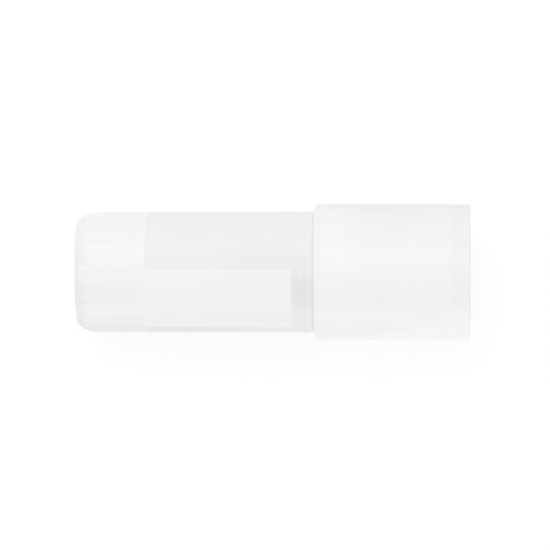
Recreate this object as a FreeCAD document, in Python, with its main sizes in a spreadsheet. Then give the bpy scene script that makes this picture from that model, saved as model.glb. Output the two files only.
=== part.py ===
"""Self-standing cryogenic vial with an external thread, its screw cap and the cap's gasket.

Three mouldings, in millimetres. The vial stands on its foot: +Z runs from the foot to the cap, and the
origin is the centre of the face it stands on. Every section is drawn in the XZ plane and turned about Z.
"""

import FreeCAD, Part
import os
import re

import Sketcher

SIZES = {
    # the tube
    "tube_radius": 6.1,
    "neck_step": 0.7,
    "neck_wall": 0.8,
    "shoulder_height": 24.4,
    "shoulder_break": 0.3,
    "neck_length": 12.6,
    "lip_break": 0.15,
    # the line left round the tube where the two halves of the mould's bore meet
    "mould_line_drop": 1.8,
    "mould_line_step": 0.05,
    "mould_line_rise": 0.12,
    # the foot
    "skirt_wall": 1.4,
    "skirt_break": 0.1,
    "foot_round": 2.4,
    "foot_round_height": 1.9,
    # the vial's floor, a cone inside and out, with a round tip inside where the last drop gathers
    "pocket_depth": 6.83,
    "floor_wall": 1.1,
    "floor_slope": 35,
    "floor_tip_round": 1.5,
    "floor_flat_radius": 1.0,
    # the ribs in the foot
    "rib_count": 12,
    "rib_width": 1.0,
    "rib_depth": 0.8,
    "rib_foot_gap": 0.25,
    "rib_root": 0.2,
    # the thread, a right-hand single start, and the nut thread in the cap
    "thread_pitch": 2.2,
    "thread_turns": 1.5,
    "thread_runout_angle": 20,
    "thread_slope": 0.5,
    "thread_root": 0.1,
    "thread_play": 0.05,
    "neck_thread_rise": 2.525,
    "neck_thread_depth": 0.55,
    "neck_thread_width": 1.1,
    "cap_thread_depth": 0.6,
    "cap_thread_width": 0.95,
    # the cap
    "cap_wall": 0.71,
    "cap_edge_break": 0.2,
    "cap_lap": 0.35,
    "bore_clearance": 0.25,
    "bore_end_gap": 0.2,
    "mouth_clearance": 0.2,
    "mouth_depth": 0.55,
    "gasket_bore_clearance": 0.45,
    "web": 0.9,
    "disc_recess_depth": 1.0,
    "disc_recess_wall": 1.55,
    "boss_inset": 0.65,
    "boss_gap": 0.3,
    "bead_depth": 0.25,
    "bead_height": 0.5,
    "bead_gap": 0.05,
    # the gasket
    "gasket_thickness": 0.9,
    "gasket_clearance": 0.1,
}

# heights and radii that follow from the driving sizes
NECK = "(tube_radius - neck_step)"
CAVITY = f"({NECK} - neck_wall)"
MOUTH_HEIGHT = "(shoulder_height + neck_length)"
UPPER_TUBE = "(tube_radius + mould_line_step)"
MOULD_LINE = "(shoulder_height - mould_line_drop)"
SKIRT_BORE = "(tube_radius - skirt_wall)"
FLOOR_EDGE = f"(pocket_depth + floor_wall / cos(floor_slope) - ({SKIRT_BORE} - {CAVITY}) * tan(floor_slope))"
FLOOR_TIP = "(floor_tip_round * sin(floor_slope))"
FLOOR_TIP_EDGE = f"({FLOOR_EDGE} - ({CAVITY} - {FLOOR_TIP}) * tan(floor_slope))"
FLOOR_BOTTOM = f"({FLOOR_TIP_EDGE} - floor_tip_round * (1 - cos(floor_slope)))"
POCKET_CEILING = f"(pocket_depth - ({SKIRT_BORE} - floor_flat_radius) * tan(floor_slope))"
FOOT_RING = "(tube_radius - foot_round + sqrt(foot_round^2 - foot_round_height^2))"
NECK_THREAD_CREST = f"({NECK} + neck_thread_depth)"
BORE = f"({NECK_THREAD_CREST} + bore_clearance)"
THREAD_START = "(shoulder_height + neck_thread_rise)"
GASKET_BORE = f"({NECK} + gasket_bore_clearance)"
CAP_MOUTH_BORE = f"({UPPER_TUBE} + mouth_clearance)"
CEILING = f"({MOUTH_HEIGHT} + gasket_thickness)"
CAP_TOP = f"({CEILING} + web + disc_recess_depth)"
CAP_RIM = "(shoulder_height - cap_lap)"
CAP_OUTSIDE = f"({BORE} + cap_wall)"
DISC_RECESS = f"({CAP_OUTSIDE} - disc_recess_wall)"
BOSS = f"({CAVITY} - boss_inset)"
# with the cap tight, the upper flank of its thread bears on the lower flank of the neck's
FLANK_TO_FLANK = f"((neck_thread_width + cap_thread_width) / 2 - thread_slope * ({BORE} - {NECK}))"
CAP_THREAD_START = f"({THREAD_START} - {FLANK_TO_FLANK} - thread_play)"
NECK_THREAD_END = f"({THREAD_START} + thread_turns * thread_pitch + neck_thread_width / 2)"
BORE_END = f"({NECK_THREAD_END} + bore_end_gap)"

doc = FreeCAD.newDocument("cryovial")


def make_sheet():
    """The driving dimensions, one cell each: the name beside its value."""
    sheet = doc.addObject("Spreadsheet::Sheet", "Sizes")
    for row, (name, value) in enumerate(SIZES.items(), start=1):
        sheet.set(f"A{row}", name)
        sheet.set(f"B{row}", str(value))
        sheet.setAlias(f"B{row}", name)
    doc.recompute()


def sized(expression):
    """The expression with each size's name pointed at its cell."""
    return re.sub(r"\b[a-z]+_[a-z_]+\b|\bweb\b", lambda match: f"Sizes.{match.group()}", expression)


def value_of(expression):
    """What an expression comes to now, in millimetres."""
    return float(doc.getObject("Sizes").evalExpression(sized(expression)))


def new_body(label):
    body = doc.addObject("PartDesign::Body", label)
    body.Label = label
    return body


def origin_feature(body, role):
    """One of the body's own origin planes or axes."""
    return next(feature for feature in body.Origin.OriginFeatures if feature.Role == role)


def new_sketch(body, name, plane):
    sketch = body.newObject("Sketcher::SketchObject", name)
    sketch.AttachmentSupport = [(origin_feature(body, plane), "")]
    sketch.MapMode = "FlatFace"
    return sketch


def pin(sketch, edge, end, across, up):
    """Hold one end of an edge at a place given by two expressions."""
    for kind, expression, axis in (("DistanceX", across, -2), ("DistanceY", up, -1)):
        if expression == "0":
            sketch.addConstraint(Sketcher.Constraint("PointOnObject", edge, end, axis))
            continue
        value = value_of(expression)
        points = (-1, 1, edge, end) if value > 0 else (edge, end, -1, 1)
        index = sketch.addConstraint(Sketcher.Constraint(kind, *points, abs(value)))
        sign = "" if value > 0 else "-"
        sketch.setExpression(f"Constraints[{index}]", sized(f"{sign}({expression})"))


def arc_between(start, end, radius):
    """The shorter arc from start to end. A positive radius bulges to the right of the way it goes."""
    middle = (start + end) / 2
    chord = end - start
    right = FreeCAD.Vector(chord.y, -chord.x, 0).normalize()
    rise = abs(radius) - (radius**2 - (chord.Length / 2) ** 2) ** 0.5
    crown = middle + right * (rise if radius > 0 else -rise)
    return Part.Arc(start, crown, end)


def draw(sketch, corners):
    """A closed outline through the corners. Each is (across, up), or (across, up, radius) where an arc of
    that radius leads on to the next corner, with a minus sign if it bulges to the left."""
    places = [FreeCAD.Vector(value_of(corner[0]), value_of(corner[1]), 0) for corner in corners]
    for index, corner in enumerate(corners):
        start, end = places[index], places[(index + 1) % len(places)]
        if len(corner) == 2:
            sketch.addGeometry(Part.LineSegment(start, end), False)
            continue
        sketch.addGeometry(arc_between(start, end, value_of(corner[2])), False)
    for index, corner in enumerate(corners):
        before = (index - 1) % len(corners)
        start_of_this = end_point(sketch, index, places[index])
        end_of_last = end_point(sketch, before, places[index])
        sketch.addConstraint(Sketcher.Constraint("Coincident", before, end_of_last, index, start_of_this))
        pin(sketch, index, start_of_this, corner[0], corner[1])
        if len(corner) == 3:
            radius = corner[2].lstrip("-")
            size = sketch.addConstraint(Sketcher.Constraint("Radius", index, value_of(radius)))
            sketch.setExpression(f"Constraints[{size}]", sized(radius))


def end_point(sketch, edge, place):
    """Which end of an edge, 1 or 2, lies at the place: an arc may have been stored the other way round."""
    gaps = {end: (sketch.getPoint(edge, end) - place).Length for end in (1, 2)}
    return min(gaps, key=gaps.get)


def revolve(body, name, corners):
    """Turn an outline in the XZ plane about Z."""
    sketch = new_sketch(body, f"{name}_section", "XZ_Plane")
    draw(sketch, corners)
    turned = body.newObject("PartDesign::Revolution", name)
    turned.Profile = sketch
    turned.ReferenceAxis = (sketch, ["V_Axis"])
    turned.Angle = 360
    doc.recompute()


def thread(body, name, start_height, wall, width, depth, outward):
    """A right-hand helical ridge on a round wall, outward on a neck or inward in a bore. It starts half a
    turn round, at -X, and its two ends are cut down to the wall at a slant."""
    out, back = ("+", "-") if outward else ("-", "+")
    root = f"({wall} {back} thread_root)"
    crest = f"({wall} {out} {depth})"
    half_root = f"({width} / 2 + thread_slope * thread_root)"
    half_crest = f"({width} / 2 - thread_slope * {depth})"
    profile = new_sketch(body, f"{name}_profile", "XZ_Plane")
    draw(profile, [
        (f"-{root}", f"{start_height} - {half_root}"),
        (f"-{crest}", f"{start_height} - {half_crest}"),
        (f"-{crest}", f"{start_height} + {half_crest}"),
        (f"-{root}", f"{start_height} + {half_root}"),
    ])
    ridge = body.newObject("PartDesign::AdditiveHelix", name)
    ridge.Profile = profile
    ridge.ReferenceAxis = (profile, ["V_Axis"])
    ridge.Mode = 1
    ridge.setExpression("Pitch", sized("thread_pitch"))
    ridge.setExpression("Turns", sized("thread_turns"))
    doc.recompute()
    end_height = f"({start_height} + thread_turns * thread_pitch)"
    beyond = f"({crest} {out} {depth})"
    for end, side, height in (("start", "-", start_height), ("end", "", end_height)):
        slant = new_sketch(body, f"{name}_{end}_slant", "XY_Plane")
        slant.setExpression(".AttachmentOffset.Base.z", sized(height))
        draw(slant, [
            (f"{side}{wall}", "0"),
            (f"{side}{crest} * cos(thread_runout_angle)", f"-{crest} * sin(thread_runout_angle)"),
            (f"{side}{beyond}", f"-{crest} * sin(thread_runout_angle)"),
            (f"{side}{beyond}", "0"),
        ])
        runout = body.newObject("PartDesign::Pocket", f"{name}_{end}_runout")
        runout.Profile = slant
        runout.Midplane = True
        runout.setExpression("Length", sized("thread_pitch"))
        doc.recompute()


def make_vial():
    body = new_body("vial")
    revolve(body, "tube", [
        (f"{SKIRT_BORE} + skirt_break", "0"),
        (FOOT_RING, "0", "foot_round"),
        ("tube_radius", "foot_round_height"),
        ("tube_radius", MOULD_LINE),
        (UPPER_TUBE, f"{MOULD_LINE} + mould_line_rise"),
        (UPPER_TUBE, "shoulder_height - shoulder_break"),
        (f"{UPPER_TUBE} - shoulder_break", "shoulder_height"),
        (NECK, "shoulder_height"),
        (NECK, f"{MOUTH_HEIGHT} - lip_break"),
        (f"{NECK} - lip_break", MOUTH_HEIGHT),
        (f"{CAVITY} + lip_break", MOUTH_HEIGHT),
        (CAVITY, f"{MOUTH_HEIGHT} - lip_break"),
        (CAVITY, FLOOR_EDGE),
        (FLOOR_TIP, FLOOR_TIP_EDGE, "-floor_tip_round"),
        ("0", FLOOR_BOTTOM),
        ("0", POCKET_CEILING),
        ("floor_flat_radius", POCKET_CEILING),
        (SKIRT_BORE, "pocket_depth"),
        (SKIRT_BORE, "skirt_break"),
    ])
    add_ribs(body)
    thread(body, "neck_thread", THREAD_START, NECK, "neck_thread_width", "neck_thread_depth", True)
    return body


def add_ribs(body):
    """The star of ribs in the skirt: each has a round lower end and runs up into the vial's bottom."""
    sketch = new_sketch(body, "rib_outline", "XZ_Plane")
    sketch.setExpression(".AttachmentOffset.Base.z", sized(f"{SKIRT_BORE} - rib_depth"))
    rib_half = "rib_width / 2"
    draw(sketch, [
        (f"-{rib_half}", f"rib_foot_gap + {rib_half}", rib_half),
        ("0", "rib_foot_gap", rib_half),
        (rib_half, f"rib_foot_gap + {rib_half}"),
        (rib_half, "pocket_depth"),
        (f"-{rib_half}", "pocket_depth"),
    ])
    rib = body.newObject("PartDesign::Pad", "rib")
    rib.Profile = sketch
    rib.setExpression("Length", sized("rib_depth + rib_root"))
    doc.recompute()
    star = body.newObject("PartDesign::PolarPattern", "rib_star")
    star.Originals = [rib]
    star.Axis = (origin_feature(body, "Z_Axis"), [""])
    star.Angle = 360
    star.setExpression("Occurrences", sized("rib_count"))
    body.Tip = star
    doc.recompute()


def make_cap():
    body = new_body("cap")
    revolve(body, "shell", [
        (CAP_MOUTH_BORE, CAP_RIM),
        (f"{CAP_OUTSIDE} - cap_edge_break", CAP_RIM),
        (CAP_OUTSIDE, f"{CAP_RIM} + cap_edge_break"),
        (CAP_OUTSIDE, f"{CAP_TOP} - cap_edge_break"),
        (f"{CAP_OUTSIDE} - cap_edge_break", CAP_TOP),
        (DISC_RECESS, CAP_TOP),
        (DISC_RECESS, f"{CEILING} + web"),
        ("0", f"{CEILING} + web"),
        ("0", f"{CEILING} - gasket_thickness + boss_gap"),
        (BOSS, f"{CEILING} - gasket_thickness + boss_gap"),
        (BOSS, CEILING),
        (GASKET_BORE, CEILING),
        (GASKET_BORE, f"{MOUTH_HEIGHT} - bead_gap"),
        (f"{GASKET_BORE} - bead_depth", f"{MOUTH_HEIGHT} - bead_gap - bead_height / 2"),
        (GASKET_BORE, f"{MOUTH_HEIGHT} - bead_gap - bead_height"),
        (GASKET_BORE, f"{BORE_END} + {BORE} - {GASKET_BORE}"),
        (BORE, BORE_END),
        (BORE, f"{CAP_RIM} + mouth_depth + {CAP_MOUTH_BORE} - {BORE}"),
        (CAP_MOUTH_BORE, f"{CAP_RIM} + mouth_depth"),
    ])
    thread(body, "nut_thread", CAP_THREAD_START, BORE, "cap_thread_width", "cap_thread_depth", False)
    return body


def make_seal():
    body = new_body("seal")
    inner = f"({BOSS} + gasket_clearance)"
    outer = f"({GASKET_BORE} - gasket_clearance)"
    revolve(body, "ring", [
        (inner, MOUTH_HEIGHT),
        (outer, MOUTH_HEIGHT),
        (outer, CEILING),
        (inner, CEILING),
    ])
    return body


def check(bodies):
    """Stop if any object failed or any piece isn't one valid solid."""
    for item in doc.Objects:
        if {"Invalid", "Error"} & set(item.State):
            raise RuntimeError(f"{item.Name}: {item.State} {item.getStatusString()}")
    for body in bodies:
        if body.Shape.isNull() or not body.Shape.isValid() or len(body.Shape.Solids) != 1:
            raise RuntimeError(f"{body.Label} is not one valid solid")


def main():
    make_sheet()
    bodies = [make_vial(), make_cap(), make_seal()]
    doc.recompute()
    check(bodies)
    os.makedirs("parts", exist_ok=True)
    for body in bodies:
        body.Shape.exportStep(f"parts/{body.Label}.step")
        print(f"{body.Label}: {body.Shape.Volume:.2f} mm3, {len(body.Shape.Faces)} faces")


main()
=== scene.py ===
"""A self-standing cryogenic vial: frosted vial with a printed writing panel, screw cap and gasket."""

import math

import bmesh
import bpy
from bpy.props import FloatProperty, FloatVectorProperty, IntProperty
from mathutils import Matrix, Vector


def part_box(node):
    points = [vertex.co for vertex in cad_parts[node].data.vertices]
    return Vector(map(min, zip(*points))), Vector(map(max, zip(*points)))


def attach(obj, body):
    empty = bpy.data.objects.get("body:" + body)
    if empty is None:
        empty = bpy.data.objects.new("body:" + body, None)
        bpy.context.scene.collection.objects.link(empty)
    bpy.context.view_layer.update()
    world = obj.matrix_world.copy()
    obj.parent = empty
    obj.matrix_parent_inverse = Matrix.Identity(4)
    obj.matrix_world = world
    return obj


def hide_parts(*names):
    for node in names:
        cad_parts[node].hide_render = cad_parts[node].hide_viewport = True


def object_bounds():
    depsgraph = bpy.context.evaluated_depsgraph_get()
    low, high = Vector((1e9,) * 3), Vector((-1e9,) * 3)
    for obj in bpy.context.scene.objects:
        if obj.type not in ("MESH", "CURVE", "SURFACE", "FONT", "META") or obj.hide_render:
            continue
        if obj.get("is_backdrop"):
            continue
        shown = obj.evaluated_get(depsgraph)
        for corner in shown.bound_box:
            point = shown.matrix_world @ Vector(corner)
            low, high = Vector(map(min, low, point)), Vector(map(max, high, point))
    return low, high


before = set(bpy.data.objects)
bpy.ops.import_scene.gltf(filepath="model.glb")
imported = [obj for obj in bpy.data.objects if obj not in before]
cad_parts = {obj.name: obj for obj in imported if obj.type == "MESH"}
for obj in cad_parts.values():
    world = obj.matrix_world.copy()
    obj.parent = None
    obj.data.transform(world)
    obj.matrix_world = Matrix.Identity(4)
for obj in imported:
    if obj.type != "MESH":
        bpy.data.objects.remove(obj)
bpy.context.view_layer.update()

bl_info = {
    "name": "Cryogenic vial",
    "version": (1, 0, 0),
    "blender": (4, 5, 0),
    "location": "3D View > Sidebar > Cryovial",
    "description": "Models and finishes a cryogenic vial with its screw cap around its packed solids",
    "category": "Object",
}

MM = 0.001
DEGREE = math.pi / 180

VIAL_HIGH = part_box("vial")[1]
CAP_LOW, CAP_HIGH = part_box("cap")
SEAL_LOW, SEAL_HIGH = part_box("seal")

# How finely round shapes are divided, how near two points are to be one, and the angle from which an
# edge stays sharp.
SPIN_STEPS = 144
ROUND_STEPS = 5
FOOT_STEPS = 12
TIP_STEPS = 6
RIB_END_STEPS = 16
WELD_GAP = 0.001 * MM
SHARP_FROM = 32 * DEGREE

# How far the ribs reach into the wall beside them and the floor above them, to be welded there.
RIB_ROOT = 0.2 * MM
RIB_OVERRUN = 0.5 * MM

# The share of its depth that a thread keeps at its very ends, so that they stay closed.
THREAD_END = 0.04


def length(name, description, default):
    """A length property, given in metres."""
    return FloatProperty(
        name=name, description=description, default=default, min=0, unit="LENGTH", precision=5
    )


def angle(name, description, default):
    """An angle property, given in degrees."""
    return FloatProperty(name=name, description=description, default=default * DEGREE, subtype="ANGLE")


def share(name, description, default):
    """A property from 0 to 1."""
    return FloatProperty(
        name=name, description=description, default=default, min=0, max=1, subtype="FACTOR"
    )


def colour(name, description, default):
    """A colour property."""
    return FloatVectorProperty(
        name=name, description=description, default=default, size=3, min=0, max=1, subtype="COLOR"
    )


class ThreadSizes(bpy.types.PropertyGroup):
    """The thread on the neck and the one in the cap, which share a pitch"""

    pitch: length("Pitch", "How far one turn of the thread climbs", 2.2 * MM)
    turns: FloatProperty(name="Turns", description="How many turns the thread makes", default=1.5)
    slope: share("Flank slope", "How much narrower a flank gets for each length outward", 0.5)
    root: length("Root", "How far the ridge is sunk in its wall", 0.1 * MM)
    runout: angle("Run-out", "The turn over which each end dies away", 24)
    crest_round: length("Crest round", "Rounding of the ridge's two edges", 0.1 * MM)
    neck_rise: length("Neck thread rise", "From the shoulder to the start of its ridge", 2.525 * MM)
    neck_depth: length("Neck thread depth", "How far the neck's ridge stands out", 0.55 * MM)
    neck_width: length("Neck thread width", "The neck's ridge, measured on the wall", 1.1 * MM)
    cap_rise: length("Cap thread rise", "From the shoulder to the start of its ridge", 1.85 * MM)
    cap_depth: length("Cap thread depth", "How far the cap's ridge stands in", 0.6 * MM)
    cap_width: length("Cap thread width", "The cap's ridge, measured on the wall", 0.95 * MM)


class VialSizes(bpy.types.PropertyGroup):
    """The tube, its neck, its floor and the star foot"""

    tube_radius: length("Tube radius", "Outside of the tube", VIAL_HIGH.x - 0.05 * MM)
    neck_radius: length("Neck radius", "Outside of the neck, without its thread", 5.4 * MM)
    neck_wall: length("Neck wall", "Wall of the neck", 0.8 * MM)
    shoulder_height: length("Shoulder height", "Where the tube ends and the neck starts", 24.4 * MM)
    mouth_height: length("Mouth height", "Top of the lip", VIAL_HIGH.z)
    lip_round: length("Lip round", "Rounding of the lip's two edges", 0.15 * MM)
    shoulder_round: length("Shoulder round", "Rounding of the shoulder", 0.3 * MM)
    mould_line_height: length("Mould line height", "Where the tube steps out a little", 22.75 * MM)
    mould_line_step: length("Mould line step", "How far the tube steps out", 0.05 * MM)
    mould_line_rise: length("Mould line rise", "The height that the step takes", 0.12 * MM)
    skirt_wall: length("Skirt wall", "Wall of the foot's skirt", 1.4 * MM)
    foot_round: length("Foot round", "Radius of the foot's rounding", 2.4 * MM)
    foot_round_height: length("Foot round height", "Where the rounding meets the tube", 1.9 * MM)
    skirt_round: length("Skirt round", "Rounding inside the standing ring", 0.1 * MM)
    pocket_depth: length("Pocket depth", "Where the skirt meets the vial's floor", 6.83 * MM)
    floor_wall: length("Floor wall", "Wall of the vial's floor", 1.1 * MM)
    floor_slope: angle("Floor slope", "Slope of the conical floor", 35)
    floor_tip_round: length("Floor tip round", "Round tip of the floor inside", 1.5 * MM)
    floor_flat: length("Floor flat", "Radius of the flat under the floor", 1.0 * MM)
    ribs: IntProperty(name="Ribs", description="How many ribs stand inside the skirt", default=12, min=1)
    rib_width: length("Rib width", "Width of a rib", 1.0 * MM)
    rib_depth: length("Rib depth", "How far a rib stands in", 0.8 * MM)
    rib_foot_gap: length("Rib foot gap", "From the standing face to the ribs' round ends", 0.25 * MM)


class CapSizes(bpy.types.PropertyGroup):
    """The screw cap, inside and out"""

    radius: length("Cap radius", "Outside of the cap at its rim", CAP_HIGH.x)
    taper: length("Cap taper", "How much the cap narrows on its way to the top", 0.065 * MM)
    edge_round: length("Edge round", "Rounding of the top's outer edge", 0.3 * MM)
    rim_round: length("Rim round", "Rounding of the rim's outer edge", 0.42 * MM)
    mouth_radius: length("Mouth bore", "Bore at the rim", 6.25 * MM)
    mouth_depth: length("Mouth depth", "Depth of the wider bore at the rim", 0.55 * MM)
    bore_radius: length("Thread bore", "Bore that carries the thread", 6.2 * MM)
    bore_end: length("Thread bore end", "From the shoulder to the end of the thread's bore", 6.575 * MM)
    gasket_bore: length("Gasket bore", "Bore round the gasket", 5.85 * MM)
    bead_depth: length("Bead depth", "How far the bead under the gasket stands in", 0.25 * MM)
    bead_height: length("Bead height", "Height of that bead", 0.5 * MM)
    bead_gap: length("Bead gap", "From the bead to the gasket", 0.05 * MM)
    web: length("Web", "Thickness of the cap's top", 0.9 * MM)
    disc_recess: length("Disc recess", "Radius of the recess in the top", 5.36 * MM)
    boss_radius: length("Boss radius", "Boss inside the gasket", 3.95 * MM)
    boss_height: length("Boss height", "How far the boss hangs down", 0.6 * MM)
    gate_dimple: length("Gate dimple", "Radius of the dimple round the moulding gate", 1.1 * MM)
    gate_depth: length("Gate depth", "Depth of that dimple", 0.15 * MM)
    gate_mark: length("Gate mark", "Radius of the gate's stub in it", 0.35 * MM)
    gate_sink: share("Gate sink", "How deep the stub ends, as a share of the dimple's depth", 0.4)
    inner_round: length("Inner round", "Rounding of the boss, the bead and the mouth", 0.1 * MM)
    recess_round: length("Recess round", "Rounding of the recess's upper edge", 0.12 * MM)
    gate_round: length("Gate round", "Rounding of the dimple's edges", 0.04 * MM)
    stub_round: length("Stub round", "Rounding of the stub's edge", 0.03 * MM)


class GasketSizes(bpy.types.PropertyGroup):
    """The flat ring that the vial's lip presses on"""

    inner_radius: length("Inner radius", "Hole of the gasket", 4.05 * MM)
    outer_radius: length("Outer radius", "Outside of the gasket", SEAL_HIGH.x)
    edge_round: length("Edge round", "Rounding of its edges", 0.12 * MM)


class PanelSizes(bpy.types.PropertyGroup):
    """The white field for notes, printed on the tube beside a bare place"""

    low: length("Lower end", "Height where the panel starts", 6.98 * MM)
    high: length("Upper end", "Height where the panel ends", 21.8 * MM)
    from_angle: angle("From", "One side of the panel, turned from the front", -2.4)
    to_angle: angle("To", "The other side of the panel", 64.6)
    ink: length("Ink", "Thickness of the ink", 0.01 * MM)
    corner: length("Corner", "Rounding of the corners", 0.25 * MM)


class Finishes(bpy.types.PropertyGroup):
    """The colours of the plastics and the ink, and how much light goes through"""

    vial: colour("Vial", "Frosted natural polypropylene", (1.0, 0.995, 1.0))
    cap: colour("Cap", "Milky white cap", (1.0, 0.996, 1.0))
    gasket: colour("Gasket", "Translucent silicone", (0.84, 0.83, 0.81))
    ink: colour("Ink", "White printing ink", (0.99, 0.99, 0.99))
    vial_clearness: share("Vial clearness", "How much the vial lets through", 0.08)
    cap_clearness: share("Cap clearness", "How much the cap lets through", 0.04)


class StageSettings(bpy.types.PropertyGroup):
    """The camera and the light"""

    distance: length("Camera distance", "From the camera to the vial", 483.5 * MM)
    focal: FloatProperty(name="Focal length", description="In millimetres on a 36 mm sensor", default=312)
    lean: angle("Lean", "How far the lying vial's axis leans towards the camera", 2.1)
    aim_across: length("Aim across", "How far beside the axis the camera aims", 0.3 * MM)
    aim_height: length("Aim height", "How far up the vial the camera aims", 20.0 * MM)
    key: share("Key light", "The key light's share of the light that makes white look white", 0.14)
    fill: share("Fill light", "The fill light's share of it", 0.1)
    fill_tint: colour("Fill tint", "A faint warmth from the low side", (1.0, 0.77, 0.88))
    sky: FloatProperty(name="Sky", description="Strength of the even light from all round", default=0.9)


# Modelling by hand: small steps that every piece uses.


def leave_edit_mode():
    """Go back to object mode with nothing selected."""
    if bpy.context.object and bpy.context.object.mode != "OBJECT":
        bpy.ops.object.mode_set(mode="OBJECT")
    bpy.ops.object.select_all(action="DESELECT")


def new_point(name):
    """A new object of one point at the origin, selected in edit mode."""
    leave_edit_mode()
    bpy.ops.mesh.primitive_plane_add(size=MM)
    piece = bpy.context.object
    piece.name = name
    piece.data.name = name
    bpy.ops.object.mode_set(mode="EDIT")
    bpy.ops.mesh.select_mode(type="VERT")
    bpy.ops.mesh.select_all(action="SELECT")
    bpy.ops.mesh.merge(type="CENTER")
    return piece


def select_where(piece, test):
    """Select the points that pass a test on their place, in edit mode."""
    bpy.ops.mesh.select_all(action="DESELECT")
    mesh = bmesh.from_edit_mesh(piece.data)
    for vertex in mesh.verts:
        vertex.select = test(vertex.co)
    mesh.select_flush_mode()
    mesh.select_flush(True)
    bmesh.update_edit_mesh(piece.data)


def near(place, spot):
    """Whether two places are one."""
    return (place - spot).length < WELD_GAP


def trace(name, corners, closed=False):
    """A section in the XZ plane, drawn by extruding a point from corner to corner. A corner is
    (across, up), or (across, up, round)."""
    piece = new_point(name)
    here = Vector((0, 0, 0))
    for index, corner in enumerate(corners):
        there = Vector((corner[0], 0, corner[1]))
        if index == 0:
            bpy.ops.transform.translate(value=there - here)
        else:
            bpy.ops.mesh.extrude_region_move(TRANSFORM_OT_translate={"value": there - here})
        here = there
    if closed:
        start = Vector((corners[0][0], 0, corners[0][1]))
        select_where(piece, lambda place: near(place, start) or near(place, here))
        bpy.ops.mesh.edge_face_add()
    for corner in corners:
        if len(corner) == 3:
            at = Vector((corner[0], 0, corner[1]))
            select_where(piece, lambda place: near(place, at))
            bpy.ops.mesh.bevel(offset=corner[2], segments=ROUND_STEPS, affect="VERTICES")
    return piece


def arc(centre_across, centre_up, radius, start, end, steps):
    """Places along an arc, from one angle to another, in degrees from across."""
    turns = [(start + (end - start) * step / steps) * DEGREE for step in range(steps + 1)]
    return [
        (centre_across + radius * math.cos(turn), centre_up + radius * math.sin(turn))
        for turn in turns
    ]


def close_up(piece):
    """Merge what coincides, turn the faces outward and go back to object mode."""
    bpy.ops.mesh.select_all(action="SELECT")
    bpy.ops.mesh.remove_doubles(threshold=WELD_GAP)
    bpy.ops.mesh.select_all(action="SELECT")
    bpy.ops.mesh.normals_make_consistent(inside=False)
    bpy.ops.object.mode_set(mode="OBJECT")
    return piece


def spin_round(piece):
    """Turn a section all the way round Z."""
    bpy.ops.mesh.select_all(action="SELECT")
    bpy.ops.mesh.spin(steps=SPIN_STEPS, angle=2 * math.pi, center=(0, 0, 0), axis=(0, 0, 1))
    return close_up(piece)


def weld(piece, other):
    """Join another closed mesh into a piece as one solid."""
    leave_edit_mode()
    bpy.context.view_layer.objects.active = piece
    piece.select_set(True)
    union = piece.modifiers.new("weld", "BOOLEAN")
    union.operation = "UNION"
    union.solver = "MANIFOLD"
    union.object = other
    bpy.ops.object.modifier_apply(modifier=union.name)
    bpy.data.objects.remove(other)


def smooth(piece):
    """Smooth shading, apart from sharp edges."""
    leave_edit_mode()
    bpy.context.view_layer.objects.active = piece
    piece.select_set(True)
    bpy.ops.object.shade_smooth_by_angle(angle=SHARP_FROM)


def dress(piece, material, body, node):
    """Give a piece its finish in its one material slot and its body, and hide the solid that it stands
    for.
    """
    if not piece.data.polygons:
        raise RuntimeError(f"{piece.name} came out with no faces")
    piece.data.materials.clear()
    piece.data.materials.append(material)
    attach(piece, body)
    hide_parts(node)


def thread_ridge(name, sizes, start_height, wall, width, depth, outward):
    """A right-hand helical ridge, outward on a neck or inward in a bore, whose ends die away in the
    wall."""
    out = 1 if outward else -1
    root = wall - out * sizes.root
    crest = wall + out * depth
    half_root = width / 2 + sizes.slope * sizes.root
    half_crest = width / 2 - sizes.slope * depth
    piece = trace(name, [
        (-root, start_height - half_root),
        (-crest, start_height - half_crest, sizes.crest_round),
        (-crest, start_height + half_crest, sizes.crest_round),
        (-root, start_height + half_root),
    ], closed=True)
    bpy.ops.object.mode_set(mode="OBJECT")
    screw = piece.modifiers.new("climb", "SCREW")
    screw.angle = sizes.turns * 2 * math.pi
    screw.screw_offset = sizes.pitch * sizes.turns
    screw.steps = screw.render_steps = round(SPIN_STEPS * sizes.turns)
    screw.use_merge_vertices = False
    bpy.ops.object.modifier_apply(modifier=screw.name)
    runout = sizes.runout / (2 * math.pi)
    for vertex in piece.data.vertices:
        part_turn = math.atan2(-vertex.co.y, -vertex.co.x) / (2 * math.pi) % 1
        turned = part_turn + round((vertex.co.z - start_height) / sizes.pitch - part_turn)
        left = min(1, max(THREAD_END, min(turned, sizes.turns - turned) / runout))
        reach = vertex.co.to_2d().length
        vertex.co.xy = vertex.co.xy * ((root + (reach - root) * left) / reach)
    bpy.ops.object.mode_set(mode="EDIT")
    bpy.ops.mesh.select_all(action="DESELECT")
    bpy.ops.mesh.select_non_manifold()
    bpy.ops.mesh.edge_face_add()
    return close_up(piece)


# The pieces.


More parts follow.
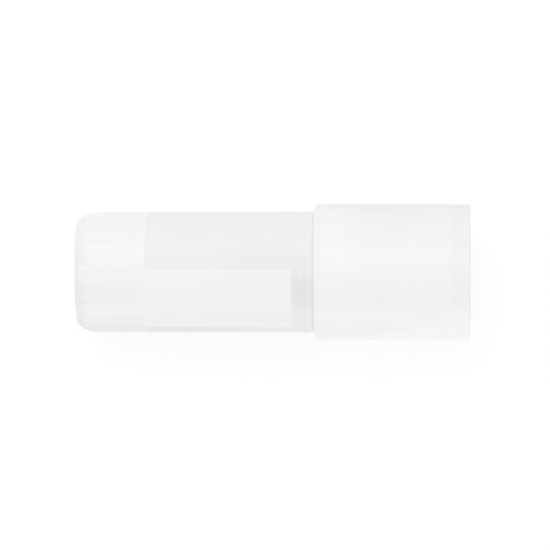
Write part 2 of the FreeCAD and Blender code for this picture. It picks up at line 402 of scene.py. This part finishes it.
def section_of_vial(sizes):
    """The vial's half section, from the middle of its floor round the foot, up, over the lip and down."""
    neck = sizes.neck_radius
    cavity = neck - sizes.neck_wall
    upper = sizes.tube_radius + sizes.mould_line_step
    skirt_bore = sizes.tube_radius - sizes.skirt_wall
    steep = math.tan(sizes.floor_slope)
    slanted_wall = sizes.floor_wall / math.cos(sizes.floor_slope)
    tip = sizes.floor_tip_round * math.sin(sizes.floor_slope)
    floor_edge = sizes.pocket_depth + slanted_wall - (skirt_bore - cavity) * steep
    tip_edge = floor_edge - (cavity - tip) * steep
    tip_centre = tip_edge + sizes.floor_tip_round * math.cos(sizes.floor_slope)
    ceiling = sizes.pocket_depth - (skirt_bore - sizes.floor_flat) * steep
    slope = sizes.floor_slope / DEGREE
    foot_start = math.asin(sizes.foot_round_height / sizes.foot_round) / DEGREE
    foot_centre = sizes.tube_radius - sizes.foot_round
    foot = arc(
        foot_centre, sizes.foot_round_height, sizes.foot_round, -foot_start, 0, FOOT_STEPS
    )
    tip_arc = arc(0, tip_centre, sizes.floor_tip_round, -90 + slope, -90, TIP_STEPS)
    return [
        (0, ceiling),
        (sizes.floor_flat, ceiling),
        (skirt_bore, sizes.pocket_depth),
        (skirt_bore, 0, sizes.skirt_round),
        *foot,
        (sizes.tube_radius, sizes.mould_line_height),
        (upper, sizes.mould_line_height + sizes.mould_line_rise),
        (upper, sizes.shoulder_height, sizes.shoulder_round),
        (neck, sizes.shoulder_height),
        (neck, sizes.mouth_height, sizes.lip_round),
        (cavity, sizes.mouth_height, sizes.lip_round),
        (cavity, floor_edge),
        *tip_arc,
    ]


def star_of_ribs(sizes):
    """One rib, round at its lower end, and its copies all round the skirt."""
    half = sizes.rib_width / 2
    low = sizes.rib_foot_gap + half
    root = sizes.tube_radius - sizes.skirt_wall + RIB_ROOT
    top = sizes.pocket_depth + RIB_OVERRUN
    rib = trace("rib", [*arc(0, low, half, -180, 0, RIB_END_STEPS), (half, top), (-half, top)])
    bpy.ops.mesh.select_all(action="SELECT")
    bpy.ops.mesh.edge_face_add()
    bpy.ops.transform.translate(value=(0, -root, 0))
    inward = (0, sizes.rib_depth + RIB_ROOT, 0)
    bpy.ops.mesh.extrude_region_move(TRANSFORM_OT_translate={"value": inward})
    close_up(rib)
    ribs = [rib]
    for place in range(1, sizes.ribs):
        leave_edit_mode()
        rib.select_set(True)
        bpy.context.view_layer.objects.active = rib
        bpy.ops.object.duplicate()
        copy = bpy.context.object
        copy.data.transform(Matrix.Rotation(2 * math.pi * place / sizes.ribs, 4, "Z"))
        ribs.append(copy)
    return ribs


class CRYOVIAL_OT_vial(bpy.types.Operator):
    """Make the frosted vial with its star foot and threaded neck"""

    bl_idname = "cryovial.vial"
    bl_label = "Frosted vial"

    def execute(self, context):
        sizes = context.scene.cryovial_vial
        thread = context.scene.cryovial_thread
        vial = spin_round(trace("frosted_vial", section_of_vial(sizes)))
        for rib in star_of_ribs(sizes):
            weld(vial, rib)
        weld(vial, thread_ridge(
            "neck_ridge", thread, sizes.shoulder_height + thread.neck_rise,
            sizes.neck_radius, thread.neck_width, thread.neck_depth, outward=True,
        ))
        smooth(vial)
        finishes, panel = context.scene.cryovial_finish, context.scene.cryovial_panel
        material = frosted_polypropylene(finishes, sizes, panel)
        dress(vial, material, "vial", "vial")
        return {"FINISHED"}


def section_of_cap(sizes, shoulder, mouth):
    """The cap's half section, from the middle of its top's underside round to the top."""
    rim = CAP_LOW.z
    top = CAP_HIGH.z
    ceiling = SEAL_HIGH.z
    web = ceiling + sizes.web
    bead = mouth - sizes.bead_gap
    bore_end = shoulder + sizes.bore_end
    mouth_end = rim + sizes.mouth_depth
    gate_floor = web - sizes.gate_depth
    stub_end = web - sizes.gate_sink * sizes.gate_depth
    return [
        (0, ceiling - sizes.boss_height),
        (sizes.boss_radius, ceiling - sizes.boss_height, sizes.inner_round),
        (sizes.boss_radius, ceiling),
        (sizes.gasket_bore, ceiling),
        (sizes.gasket_bore, bead),
        (sizes.gasket_bore - sizes.bead_depth, bead - sizes.bead_height / 2, sizes.inner_round),
        (sizes.gasket_bore, bead - sizes.bead_height),
        (sizes.gasket_bore, bore_end + sizes.bore_radius - sizes.gasket_bore),
        (sizes.bore_radius, bore_end),
        (sizes.bore_radius, mouth_end + sizes.mouth_radius - sizes.bore_radius),
        (sizes.mouth_radius, mouth_end),
        (sizes.mouth_radius, rim, sizes.inner_round),
        (sizes.radius, rim, sizes.rim_round),
        (sizes.radius - sizes.taper, top, sizes.edge_round),
        (sizes.disc_recess, top, sizes.recess_round),
        (sizes.disc_recess, web),
        (sizes.gate_dimple, web, sizes.gate_round),
        (sizes.gate_dimple - sizes.gate_depth, gate_floor, sizes.gate_round),
        (sizes.gate_mark, gate_floor),
        (sizes.gate_mark, stub_end, sizes.stub_round),
        (0, stub_end),
    ]


class CRYOVIAL_OT_cap(bpy.types.Operator):
    """Make the screw cap with its thread, gasket seat and recess for a coding disc"""

    bl_idname = "cryovial.cap"
    bl_label = "Screw cap"

    def execute(self, context):
        sizes = context.scene.cryovial_cap
        thread = context.scene.cryovial_thread
        vial = context.scene.cryovial_vial
        shoulder = vial.shoulder_height
        cap = spin_round(trace("screw_cap", section_of_cap(sizes, shoulder, vial.mouth_height)))
        weld(cap, thread_ridge(
            "cap_ridge", thread, shoulder + thread.cap_rise,
            sizes.bore_radius, thread.cap_width, thread.cap_depth, outward=False,
        ))
        smooth(cap)
        material = milky_polyethylene(context.scene.cryovial_finish, sizes, thread, shoulder)
        dress(cap, material, "cap", "cap")
        return {"FINISHED"}


class CRYOVIAL_OT_gasket(bpy.types.Operator):
    """Make the silicone gasket between the vial's lip and the cap"""

    bl_idname = "cryovial.gasket"
    bl_label = "Gasket"

    def execute(self, context):
        sizes = context.scene.cryovial_gasket
        soft = sizes.edge_round
        gasket = spin_round(trace("silicone_gasket", [
            (sizes.inner_radius, SEAL_LOW.z, soft),
            (sizes.outer_radius, SEAL_LOW.z, soft),
            (sizes.outer_radius, SEAL_HIGH.z, soft),
            (sizes.inner_radius, SEAL_HIGH.z, soft),
        ], closed=True))
        smooth(gasket)
        dress(gasket, soft_silicone(context.scene.cryovial_finish), "seal", "seal")
        return {"FINISHED"}


# Finishes: shader maths written as plain expressions.

# How softly printed ink ends at its edge, in millimetres, how rough it is, and how deep the plastics'
# fine relief is.
INK_EDGE = 0.02
INK_ROUGHNESS = 0.62
RELIEF = 0.02 * MM

# Soft oval patches of painted light and painted shade in the plastics: each one's middle and half its
# size, both as a turn from the front in radians and a height in millimetres, and how much lighter or
# darker it is.
PAINTED_LIGHT_IN_VIAL = (
    ((1.25, 20.0), (0.45, 5.5), 0.05),
    ((0.1, 8.5), (0.5, 8.5), 0.022),
)
# Patches of painted light on the cap.
PAINTED_LIGHT_IN_CAP = (
    ((-0.35, 26.5), (0.75, 3.5), 0.02),
    ((-0.15, 34.5), (0.5, 3.0), 0.015),
    ((1.2, 37.0), (0.7, 7.0), 0.09),
    ((1.35, 33.0), (0.35, 13.0), 0.08),
    ((0.75, 39.0), (0.35, 3.0), 0.04),
)
# Patches of painted shade on the cap.
PAINTED_SHADE_IN_CAP = (
    ((0.4, 30.0), (0.4, 14.0), 0.03),
    ((-1.6, 36.0), (1.1, 10.0), 0.08),
    ((-1.5, 27.0), (0.9, 7.0), 0.05),
    ((-1.1, 31.8), (0.75, 5.0), 0.035),
    ((-0.5, 33.0), (0.4, 14.0), 0.018),
)

# How far above its thread's start the cap shows three pale rings, in millimetres.
RING_RISES = (0.2, 1.3, 3.35)


class Value:
    """A value in a tree of nodes. Arithmetic on it adds Math nodes."""

    def __init__(self, nodes, socket):
        self.nodes = nodes
        self.socket = socket

    def maths(self, operation, *others):
        return self.nodes.maths(operation, self, *others)

    def __add__(self, other):
        return self.maths("ADD", other)

    def __sub__(self, other):
        return self.maths("SUBTRACT", other)

    def __mul__(self, other):
        return self.maths("MULTIPLY", other)

    def __truediv__(self, other):
        return self.maths("DIVIDE", other)

    def __pow__(self, other):
        return self.maths("POWER", other)

    def __rsub__(self, other):
        return self.nodes.maths("SUBTRACT", other, self)

    def __rtruediv__(self, other):
        return self.nodes.maths("DIVIDE", other, self)

    def __rpow__(self, other):
        return self.nodes.maths("POWER", other, self)

    __radd__ = __add__
    __rmul__ = __mul__

    def __abs__(self):
        return self.maths("ABSOLUTE")

    def at_least(self, other):
        return self.maths("MAXIMUM", other)

    def at_most(self, other):
        return self.maths("MINIMUM", other)


def from_centre(aside, above):
    """How far a point is from a centre, when it lies so far aside of it and so far above it."""
    return (aside * aside + above * above) ** 0.5


class Nodes:
    """The nodes of a material or of the world, and the one way to add to them."""

    def __init__(self, tree, output):
        self.tree = tree
        self.tree.nodes.clear()
        self.output = self.node(output)

    def node(self, kind, settings=None, **inputs):
        """Add a node: its settings first, then the values or links of its sockets. A socket's name is
        written with _ for a space, or as in_0, in_1 for its place."""
        made = self.tree.nodes.new(kind)
        for name, setting in (settings or {}).items():
            setattr(made, name, setting)
        for name, given in inputs.items():
            place = int(name[3:]) if name[:3] == "in_" else name.replace("_", " ")
            self.feed(made.inputs[place], given)
        return made

    def feed(self, socket, given):
        """Link a socket, or set it. A colour of three numbers gets its fourth here."""
        if isinstance(given, Value):
            given = given.socket
        if isinstance(given, bpy.types.NodeSocket):
            self.tree.links.new(given, socket)
        elif hasattr(given, "__len__") and len(given) == 3 and socket.type == "RGBA":
            socket.default_value = (*given, 1)
        else:
            socket.default_value = given

    def maths(self, operation, *values):
        inputs = {f"in_{place}": value for place, value in enumerate(values)}
        made = self.node("ShaderNodeMath", {"operation": operation}, **inputs)
        return Value(self, made.outputs[0])

    def seen(self):
        """1 for what is seen, straight or in another surface, and 0 for what only gives light."""
        path = self.node("ShaderNodeLightPath").outputs
        seen = Value(self, path["Is Camera Ray"])
        return seen.at_least(path["Is Glossy Ray"]).at_least(path["Is Transmission Ray"])

    def show(self, socket):
        """Let a shader be what shows."""
        self.tree.links.new(socket, self.output.inputs["Surface"])


class Finish(Nodes):
    """A material, with patterns laid along and round a piece."""

    def __init__(self, name):
        self.material = bpy.data.materials.new(name)
        self.material.use_nodes = True
        super().__init__(self.material.node_tree, "ShaderNodeOutputMaterial")

    def place(self):
        """Where a point is on the piece: across, depth and height, in millimetres."""
        coordinates = self.node("ShaderNodeTexCoord").outputs["Object"]
        parts = self.node("ShaderNodeSeparateXYZ", Vector=coordinates).outputs
        return [Value(self, part) * (1 / MM) for part in parts]

    def turn(self, across, depth):
        """How far round the piece a point is, in radians from the front."""
        return self.maths("ARCTAN2", across, depth * -1)

    def noise(self, across, along, detail=2.0):
        """Noise from 0 to 1 that changes so many times in a millimetre, across the piece and along it."""
        coordinates = self.node("ShaderNodeTexCoord").outputs["Object"]
        scale = (across / MM, across / MM, along / MM)
        stretched = self.node("ShaderNodeMapping", Vector=coordinates, Scale=scale).outputs[0]
        made = self.node("ShaderNodeTexNoise", Vector=stretched, Scale=1.0, Detail=detail)
        return Value(self, made.outputs[0])

    def steps(self, value, low, high):
        """From 0 at low to 1 at high, eased."""
        made = self.node(
            "ShaderNodeMapRange", {"interpolation_type": "SMOOTHSTEP"},
            Value=value, From_Min=low, From_Max=high,
        )
        return Value(self, made.outputs[0])

    def line(self, value, centre, half_width):
        """1 where a value is at the centre, easing to 0 at half the line's width to either side."""
        return 1 - self.steps(abs(value - centre), 0, half_width)

    def field(self, aside, above, width, height, corner):
        """1 inside a rectangle with round corners round the place where aside and above are 0."""
        past_side = (abs(aside) - (width / 2 - corner)).at_least(0)
        past_end = (abs(above) - (height / 2 - corner)).at_least(0)
        past = from_centre(past_side, past_end)
        return 1 - self.steps(past, corner - INK_EDGE, corner + INK_EDGE)

    def patch(self, turn, height, middle, half):
        """1 in the middle of an oval patch, easing to 0 at its edge."""
        aside = (turn - middle[0]) / half[0]
        above = (height - middle[1]) / half[1]
        return 1 - self.steps(from_centre(aside, above), 0, 1)

    def patches(self, turn, height, table):
        """All of a table's patches, each as strong as the table says."""
        return sum(
            self.patch(turn, height, middle, half) * strength for middle, half, strength in table
        )

    def blend(self, factor, below, above):
        """A colour between two."""
        made = self.node("ShaderNodeMix", {"data_type": "RGBA"}, Factor=factor)
        colours = [socket for socket in made.inputs if socket.type == "RGBA"]
        self.feed(colours[0], below)
        self.feed(colours[1], above)
        return next(socket for socket in made.outputs if socket.type == "RGBA")

    def tinted(self, tone, tint):
        """A tint, darkened to a tone of at most 1."""
        return self.blend(tone.at_most(1), (0, 0, 0), tint)

    def bump(self, height, distance, strength):
        made = self.node("ShaderNodeBump", Height=height, Distance=distance, Strength=strength)
        return made.outputs[0]

    def surface(self, **inputs):
        self.show(self.node("ShaderNodeBsdfPrincipled", **inputs).outputs[0])


def scattering(weight, reach):
    """The shader's own values for light that spreads inside a cloudy plastic."""
    return {
        "Subsurface_Weight": weight,
        "Subsurface_Radius": (1.0, 1.0, 1.0),
        "Subsurface_Scale": reach,
    }


def rib_outlines(finish, sizes, turn, height):
    """The pale outlines of the ribs, seen through the foot: darker in the middle, fading upward. The
    widths and heights are in millimetres, as in all these finishes."""
    sector = 2 * math.pi / sizes.ribs
    aside = finish.maths("WRAP", turn, sector / 2, -sector / 2) * (sizes.tube_radius / MM)
    low = (sizes.rib_foot_gap + sizes.rib_width / 2) / MM
    from_rib = from_centre(aside, (low - height).at_least(0))
    edge = finish.line(from_rib, 0.42, 0.17)
    middle = 1 - finish.steps(from_rib, 0.2, 0.42)
    fading = 1 - finish.steps(height, 2.4, 5.4)
    return (edge - middle * 0.45) * fading


def printed_field(finish, sizes, panel, turn, height):
    """1 on the printed writing panel."""
    radius = sizes.tube_radius / MM
    middle = (panel.from_angle + panel.to_angle) / 2
    centre = (panel.low + panel.high) / 2 / MM
    width = (panel.to_angle - panel.from_angle) * radius
    tall = (panel.high - panel.low) / MM
    return finish.field(
        (turn - middle) * radius, height - centre, width, tall, panel.corner / MM
    )


def frosted_polypropylene(finishes, sizes, panel):
    """The vial's natural polypropylene with its printed panel: clear enough that the foot's ribs show as
    pale outlines, with painted shade on the wall between the writing panel and the shoulder."""
    finish = Finish("frosted_polypropylene")
    across, depth, height = finish.place()
    turn = finish.turn(across, depth)
    pocket = sizes.pocket_depth / MM
    rim = CAP_LOW.z / MM
    step = (sizes.mould_line_height + sizes.mould_line_rise / 2) / MM

    # Each of these is 1 on the part of the vial that it is named for.
    outer = finish.steps(from_centre(across, depth), 4.9, 5.0)
    ribs = rib_outlines(finish, sizes, turn, height) * outer
    in_foot = (1 - finish.steps(height, pocket + 0.24, pocket + 0.3)) * outer
    # painted shade: the foot's end is made darker
    shaded_foot_end = (1 - finish.steps(height, 0, sizes.foot_round_height / MM)) * outer
    strip = finish.line(height, pocket - 0.05, 0.4) * outer
    # painted light: the wall just under the cap's rim, where the rim shades it, is made lighter
    lit_under_cap = finish.steps(height, rim - 0.85, rim - 0.2)
    # painted highlight along the mould line's step
    mould_line_highlight = finish.line(height, step, 0.13) * outer
    # painted shade on the wall beside the panel, just under the shoulder
    beside_panel = 1 - finish.steps(abs(turn - 0.4), 0.05, 0.65)
    deep = finish.steps(height, 21.4, 22.3) * beside_panel * outer
    # painted shade in a band just above the panel
    above_panel = finish.line(turn, -0.18, 0.26) * outer
    before_back = 1 - finish.steps(turn, 1.75, 2.3)
    # painted shade along the low side
    shaded_low_side = finish.steps(turn, 1.0, 1.25) * before_back * outer
    shaded = finish.steps(turn, -0.1, 0.3) * before_back * outer
    printed = printed_field(finish, sizes, panel, turn, height) * outer

    # The plastic is palest where it is thick and darker where the wall is seen into; painted light lifts
    # it under the cap's rim, on the mould line's step, in patches and on the inside, and painted shade
    # darkens it beside and above the panel, along the low side, on the foot's end and over the shaded
    # half.
    cloud = finish.noise(0.35, 0.12)
    flow = finish.noise(1.6, 0.08, detail=4)
    fine = finish.noise(14, 14, detail=4)
    # painted light in soft patches, on the plastic and the ink alike
    pale = finish.patches(turn, height, PAINTED_LIGHT_IN_VIAL) * outer
    tone = 0.914 + in_foot * 0.062 + strip * 0.012 + ribs * 0.032
    # painted light: the inside of the wall is made lighter
    tone = tone + mould_line_highlight * 0.04 + lit_under_cap * 0.084 + (1 - outer) * 0.08
    tone = tone - deep * 0.075 - above_panel * 0.025 - shaded_low_side * 0.055 - shaded_foot_end * 0.06
    tone = tone - shaded * (0.016 + in_foot * 0.042)
    mottled = tone + pale + (cloud - 0.5) * 0.04 + (flow - 0.5) * 0.03
    inked = 0.98 - shaded * 0.02 + pale + (cloud - 0.5) * 0.02 + (fine - 0.5) * 0.02

    plastic = finish.tinted(mottled, finishes.vial)
    ink = finish.tinted(inked, finishes.ink)
    roughness = 0.38 + (fine - 0.5) * 0.14 + (flow - 0.5) * 0.08 - in_foot * 0.06
    relief = (fine + flow * 2) * RELIEF + printed * panel.ink
    finish.surface(
        Base_Color=finish.blend(printed, plastic, ink),
        Roughness=roughness + (INK_ROUGHNESS - roughness) * printed,
        IOR=1.49,
        Transmission_Weight=finishes.vial_clearness,
        **scattering(0.35, 0.8 * MM),
        Normal=finish.bump(relief, 1.0, 0.35),
    )
    return finish.material


def thread_in_cap(finish, thread, start, across, depth, height):
    """The cap's inner thread, seen through its wall: 1 along the ridge."""
    pitch = thread.pitch / MM
    from_start = finish.maths("ARCTAN2", depth * -1, across * -1) / (2 * math.pi)
    round_once = finish.maths("WRAP", from_start, 1, 0)
    climbed = height - start - round_once * pitch
    from_ridge = finish.maths("WRAP", climbed, pitch / 2, -pitch / 2)
    begun = finish.steps(height, start - 0.5, start)
    threaded = begun * (1 - finish.steps(height, start + 3.3, start + 3.8))
    return (1 - finish.steps(abs(from_ridge), 0.3, 0.6)) * threaded


def milky_polyethylene(finishes, cap, thread, shoulder):
    """The cap's white plastic, whose inner thread shows faintly through its slender wall, with painted
    light and shade.
    """
    finish = Finish("milky_polyethylene")
    across, depth, height = finish.place()
    turn = finish.turn(across, depth)
    start = (shoulder + thread.cap_rise) / MM
    bore_end = (shoulder + cap.bore_end) / MM
    rim = CAP_LOW.z / MM
    ceiling = SEAL_HIGH.z / MM

    # Each of these is 1 on the part of the cap that it is named for.
    outer = finish.steps(from_centre(across, depth), 6.5, 6.6)
    # painted light: the cap's inside is made lighter
    inside = (1 - outer) * (1 - finish.steps(height, ceiling - 0.7, ceiling - 0.5))
    ridge = thread_in_cap(finish, thread, start, across, depth, height)
    rings = sum(finish.line(height, start + rise, 0.13) for rise in RING_RISES)
    rings = rings + finish.line(height, bore_end, 0.2) * 0.5
    web = finish.steps(height, ceiling - 0.6, ceiling + 0.6) * outer
    over_neck = (1 - finish.steps(height, 28, 34)) * outer
    # painted light on the rim's lower edge
    rim_edge = 1 - finish.steps(height, rim + 0.03, rim + 0.13)

    cloud = finish.noise(0.3, 0.16)
    flow = finish.noise(2.2, 0.07, detail=4)
    fine = finish.noise(12, 12, detail=3)
    # painted light: soft patches and the rim's lower edge
    painted_light_on_cap = finish.patches(turn, height, PAINTED_LIGHT_IN_CAP) + rim_edge * 0.055
    # painted shade: soft patches and a band just above the rim
    painted_shade_on_cap = finish.patches(turn, height, PAINTED_SHADE_IN_CAP) + finish.line(height, rim + 0.4, 0.35) * 0.035
    tone = 0.936 + (ridge * 0.005 + rings * 0.014) * outer
    tone = tone + over_neck * 0.006 - web * 0.035 + inside * 0.05 + (painted_light_on_cap - painted_shade_on_cap) * outer
    mottled = tone + (cloud - 0.5) * 0.04 + (flow - 0.5) * 0.03
    finish.surface(
        Base_Color=finish.tinted(mottled, finishes.cap),
        Roughness=0.42 + (fine - 0.5) * 0.14 + (flow - 0.5) * 0.08,
        IOR=1.51,
        Transmission_Weight=finishes.cap_clearness,
        **scattering(0.35, 0.8 * MM),
        Normal=finish.bump(fine + flow * 2, RELIEF, 0.35),
    )
    return finish.material


def soft_silicone(finishes):
    """The gasket's matte translucent silicone."""
    finish = Finish("soft_silicone")
    fine = finish.noise(9, 9, detail=3)
    cloud = finish.noise(0.8, 0.8)
    finish.surface(
        Base_Color=finish.tinted(0.97 + (cloud - 0.5) * 0.06, finishes.gasket),
        Roughness=0.6 + (fine - 0.5) * 0.2,
        IOR=1.41,
        **scattering(0.8, 1.0 * MM),
        Normal=finish.bump(fine, RELIEF, 0.4),
    )
    return finish.material


# The stage.

# The two white sheets: their size, the white that they are seen as, and how much of that white the light
# on them makes, which is what a shadow takes away.
FLOOR_SIZE, FLOOR_WHITE, FLOOR_LIT = 3, 1.08, 0.5
TABLE_SIZE, TABLE_WHITE, TABLE_LIT = 1.2, 1.03, 0.45
SHEET_STEPS = 8

# The two lamps: where they hang, seen from the vial's middle, and how wide they are.
KEY_PLACE, KEY_SIZE = Vector((-0.27, -0.46, -0.1)), 0.3
FILL_PLACE, FILL_SIZE = Vector((0.5, -0.05, -0.15)), 0.2


def white_surface(name, white, lit):
    """A light table: from above it shows white apart from the vial's shadow, from below it can't be seen,
    and the even light from all round passes through it to the vial."""
    finish = Finish(name)
    clear = finish.node("ShaderNodeBsdfTransparent").outputs[0]
    shaded = finish.node("ShaderNodeBsdfDiffuse", Color=(lit, lit, lit)).outputs[0]
    glow = finish.node("ShaderNodeEmission", Color=(1, 1, 1), Strength=white - lit).outputs[0]
    bright = finish.node("ShaderNodeAddShader", in_0=shaded, in_1=glow).outputs[0]
    above = 1 - Value(finish, finish.node("ShaderNodeNewGeometry").outputs["Backfacing"])
    shown = finish.seen() * above
    finish.show(finish.node("ShaderNodeMixShader", in_0=shown, in_1=clear, in_2=bright).outputs[0])
    return finish.material


def lay_sheet(name, size, place, turn, material):
    """A large flat sheet that isn't part of the vial."""
    leave_edit_mode()
    bpy.ops.mesh.primitive_grid_add(
        x_subdivisions=SHEET_STEPS, y_subdivisions=SHEET_STEPS, size=size
    )
    sheet = bpy.context.object
    sheet.name = sheet.data.name = name
    sheet.data.transform(Matrix.Translation(place) @ turn.to_4x4())
    sheet.data.materials.append(material)
    sheet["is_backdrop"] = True


def lay_floor_and_table(vial):
    """The floor for the standing vial, and the table that its foot and its cap's rim lie on."""
    floor = white_surface("white_floor", FLOOR_WHITE, FLOOR_LIT)
    lay_sheet("floor", FLOOR_SIZE, Vector((0, 0, 0)), Matrix.Identity(3), floor)
    foot = Vector((0, vial.tube_radius, vial.foot_round_height))
    rim = Vector((0, CAP_HIGH.x, CAP_LOW.z))
    across = Vector((1, 0, 0))
    along = (rim - foot).normalized()
    turn = Matrix((across, along, across.cross(along))).transposed()
    table = white_surface("white_table", TABLE_WHITE, TABLE_LIT)
    lay_sheet("table", TABLE_SIZE, foot, turn, table)


def light_from_all_round(scene, level):
    """Even white light. Where the surroundings are seen, they are plain white."""
    scene.world = scene.world or bpy.data.worlds.new("World")
    scene.world.use_nodes = True
    light = Nodes(scene.world.node_tree, "ShaderNodeOutputWorld")
    even = light.node("ShaderNodeBackground", Color=(1, 1, 1), Strength=level).outputs[0]
    white = light.node("ShaderNodeBackground", Color=(1, 1, 1), Strength=1).outputs[0]
    light.show(light.node("ShaderNodeMixShader", in_0=light.seen(), in_1=even, in_2=white).outputs[0])


def hang_lamp(scene, name, level, tint, size, offset):
    """A square soft light aimed at the vial's middle, where it adds its level to what a surface that
    faces it shows."""
    low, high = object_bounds()
    middle = (low + high) / 2
    place = middle + offset
    data = bpy.data.lights.new(name, "AREA")
    data.energy = level * math.pi ** 2 * (middle - place).length_squared
    data.color = tint
    data.size = size
    lamp = bpy.data.objects.new(name, data)
    lamp.location = place
    lamp.rotation_euler = (middle - place).to_track_quat("-Z", "Y").to_euler()
    scene.collection.objects.link(lamp)


def place_camera(scene, settings):
    """A long lens from the front, with the vial's foot to the left."""
    camera = bpy.data.cameras.new("camera")
    camera.lens = settings.focal
    camera.sensor_width = 36
    camera.clip_start = 0.01
    camera.clip_end = 10
    eye = bpy.data.objects.new("camera", camera)
    scene.collection.objects.link(eye)
    back = Vector((0, -math.cos(settings.lean), math.sin(settings.lean)))
    upward = Vector((-1, 0, 0))
    turned = Matrix((upward.cross(back), upward, back)).transposed()
    aim = Vector((settings.aim_across, 0, settings.aim_height))
    eye.matrix_world = Matrix.Translation(aim + back * settings.distance) @ turned.to_4x4()
    scene.camera = eye


class CRYOVIAL_OT_stage(bpy.types.Operator):
    """Set up the white table, the floor, the lights and the camera"""

    bl_idname = "cryovial.stage"
    bl_label = "Stage"

    def execute(self, context):
        scene = context.scene
        settings = scene.cryovial_stage
        lay_floor_and_table(scene.cryovial_vial)
        light_from_all_round(scene, settings.sky)
        hang_lamp(scene, "key", settings.key, (1, 1, 1), KEY_SIZE, KEY_PLACE)
        hang_lamp(scene, "fill", settings.fill, settings.fill_tint, FILL_SIZE, FILL_PLACE)
        place_camera(scene, settings)
        scene.view_settings.view_transform = "Standard"
        return {"FINISHED"}


class CRYOVIAL_PT_panel(bpy.types.Panel):
    """Lists the steps that make the vial, and the sizes and colours that they use"""

    bl_idname = "CRYOVIAL_PT_panel"
    bl_label = "Cryogenic vial"
    bl_space_type = "VIEW_3D"
    bl_region_type = "UI"
    bl_category = "Cryovial"

    def draw(self, context):
        for step in STEPS:
            self.layout.operator(step.bl_idname)
        for name, group in GROUPS.items():
            box = self.layout.box()
            box.label(text=group.__doc__)
            for size in group.__annotations__:
                box.prop(getattr(context.scene, name), size)


GROUPS = {
    "cryovial_thread": ThreadSizes,
    "cryovial_vial": VialSizes,
    "cryovial_cap": CapSizes,
    "cryovial_gasket": GasketSizes,
    "cryovial_panel": PanelSizes,
    "cryovial_finish": Finishes,
    "cryovial_stage": StageSettings,
}
STEPS = (CRYOVIAL_OT_vial, CRYOVIAL_OT_cap, CRYOVIAL_OT_gasket, CRYOVIAL_OT_stage)


def register():
    for name, group in GROUPS.items():
        bpy.utils.register_class(group)
        setattr(bpy.types.Scene, name, bpy.props.PointerProperty(type=group))
    for step in (*STEPS, CRYOVIAL_PT_panel):
        bpy.utils.register_class(step)


def unregister():
    for step in (CRYOVIAL_PT_panel, *reversed(STEPS)):
        bpy.utils.unregister_class(step)
    for name, group in reversed(GROUPS.items()):
        delattr(bpy.types.Scene, name)
        bpy.utils.unregister_class(group)


def main():
    register()
    bpy.ops.cryovial.vial()
    bpy.ops.cryovial.cap()
    bpy.ops.cryovial.gasket()
    bpy.ops.cryovial.stage()


if __name__ == "__main__":
    main()
